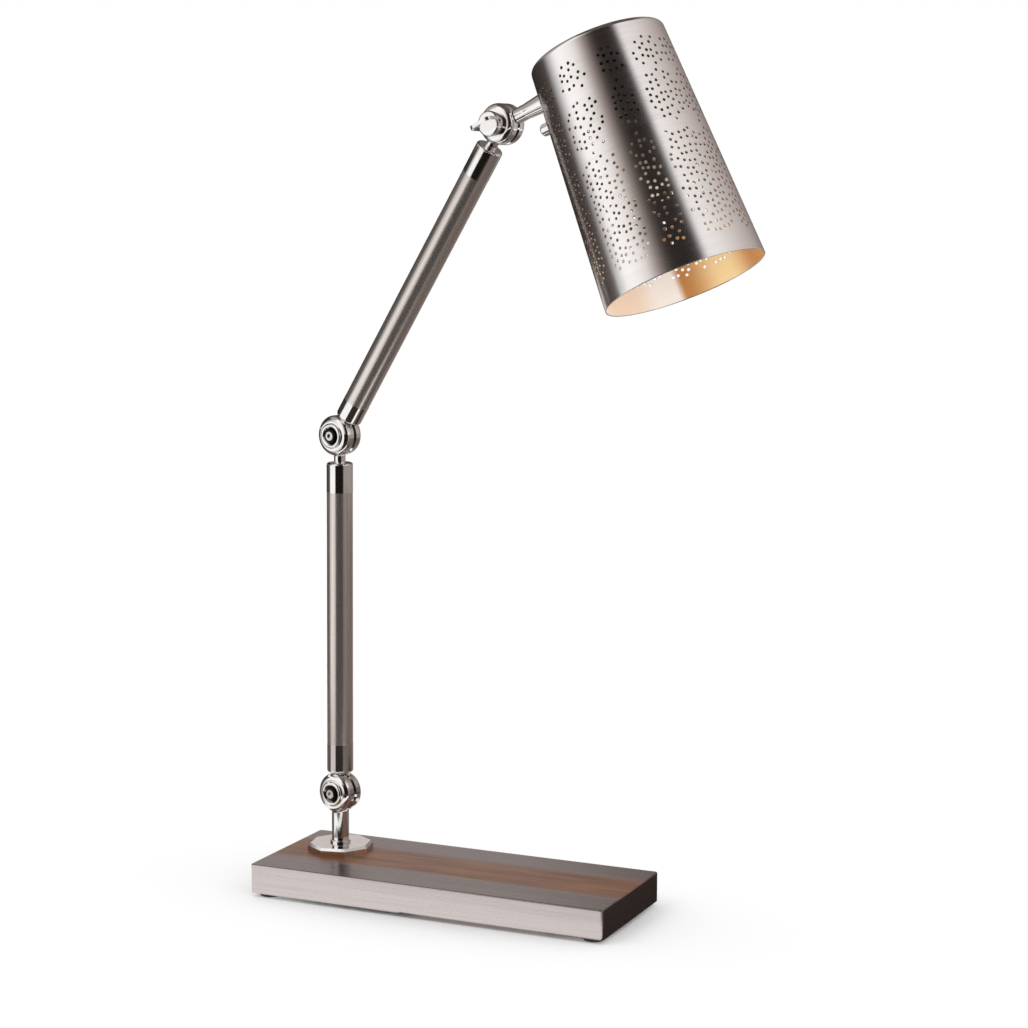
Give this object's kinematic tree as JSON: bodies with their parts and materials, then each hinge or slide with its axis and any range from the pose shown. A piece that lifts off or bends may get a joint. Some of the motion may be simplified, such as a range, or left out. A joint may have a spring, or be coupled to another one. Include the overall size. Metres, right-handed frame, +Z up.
{
  "type": "adjustable desk lamp",
  "caption": "Desk lamp with a weighted rectangular base, swivelling stem, jointed straight arms and a tilting tapered metal shade.",
  "frame": {"origin": "centre of the base on the desk plane, under its flat underside and level with the undersides of the rubber feet", "axes": "+Z up, +X along the base's long side towards the end that the shade hangs over, +Y to the back"},
  "size_m": [0.357, 0.1499, 0.5855],
  "materials": {
    "satin_nickel": "brushed along the length, satin",
    "arm_tube": "brushed along the tube, satin, taupe",
    "polished_nickel": "polished",
    "plain_steel": "plain zinc-plated",
    "ballast_iron": "rough cast",
    "black_rubber": "matt",
    "socket_plastic": "matt moulded",
    "bulb_cap": "plain",
    "bulb_glass": "frosted"
  },
  "bodies": {
    "base": {"base_cover": "satin_nickel", "base_ballast": "ballast_iron", "base_bottom_plate": "plain_steel", "base_posts": "plain_steel", "base_cover_screws": "plain_steel", "base_feet": "black_rubber", "base_cord_inlet": "black_rubber", "stem_flange": "polished_nickel", "stem_bushing": "polished_nickel", "stem_washer": "plain_steel"},
    "stem": {"stem_nut": "plain_steel", "stem_tube": "polished_nickel", "stem_knuckle": "polished_nickel", "pivot_1_screw": "polished_nickel", "pivot_1_cup_washer": "polished_nickel", "pivot_1_friction_washer": "plain_steel"},
    "lower_arm": {"lower_knuckle_bottom": "polished_nickel", "lower_knuckle_top": "polished_nickel", "lower_collar_bottom": "polished_nickel", "lower_collar_top": "polished_nickel", "lower_tube": "arm_tube", "lower_tie_rod": "plain_steel", "pivot_2_screw": "polished_nickel", "pivot_2_cup_washer": "polished_nickel", "pivot_2_friction_washer": "plain_steel"},
    "upper_arm": {"upper_knuckle_bottom": "polished_nickel", "upper_knuckle_top": "polished_nickel", "upper_collar_bottom": "polished_nickel", "upper_collar_top": "polished_nickel", "upper_tube": "arm_tube", "upper_tie_rod": "plain_steel"},
    "head": {"shade": "satin_nickel", "head_knuckle": "polished_nickel", "head_flare": "polished_nickel", "head_nut": "plain_steel", "head_washer": "plain_steel", "socket_bracket": "plain_steel", "socket_nut": "plain_steel", "socket_cap": "socket_plastic", "socket_shell": "socket_plastic", "bulb_base": "bulb_cap", "bulb_glass": "bulb_glass", "switch_body": "socket_plastic"},
    "thumb_screw": {"thumb_screw": "polished_nickel"},
    "switch_knob": {"switch_knob": "polished_nickel"}
  },
  "joints": [
    {"name": "stem_swivel", "type": "hinge", "parent": "base", "child": "stem", "pos_m": [-0.0935, 0.0125, 0.0276], "axis": [0, 0, 1], "range_deg": [-77.8, 102.2]},
    {"name": "lower_arm_tilt", "type": "hinge", "parent": "stem", "child": "lower_arm", "pos_m": [-0.0935, 0.0125, 0.0636], "axis": [0.2113, 0.9774, 0], "range_deg": [-30, 50]},
    {"name": "upper_arm_tilt", "type": "hinge", "parent": "lower_arm", "child": "upper_arm", "pos_m": [-0.09201, 0.01218, 0.3136], "axis": [0.2113, 0.9774, 0], "range_deg": [-33, 60]},
    {"name": "head_tilt", "type": "hinge", "parent": "upper_arm", "child": "head", "pos_m": [0.04286, -0.01698, 0.52207], "axis": [0.2113, 0.9774, 0], "range_deg": [-65, 45]},
    {"name": "thumb_screw_turn", "type": "hinge", "parent": "head", "child": "thumb_screw", "pos_m": [0.04286, -0.01698, 0.52207], "axis": [0.2113, 0.9774, 0], "range_deg": [-180, 180]},
    {"name": "switch_turn", "type": "hinge", "parent": "head", "child": "switch_knob", "pos_m": [0.08062, -0.02515, 0.5199], "axis": [-0.9061, 0.1959, -0.3751], "range_deg": [0, 90]}
  ]
}
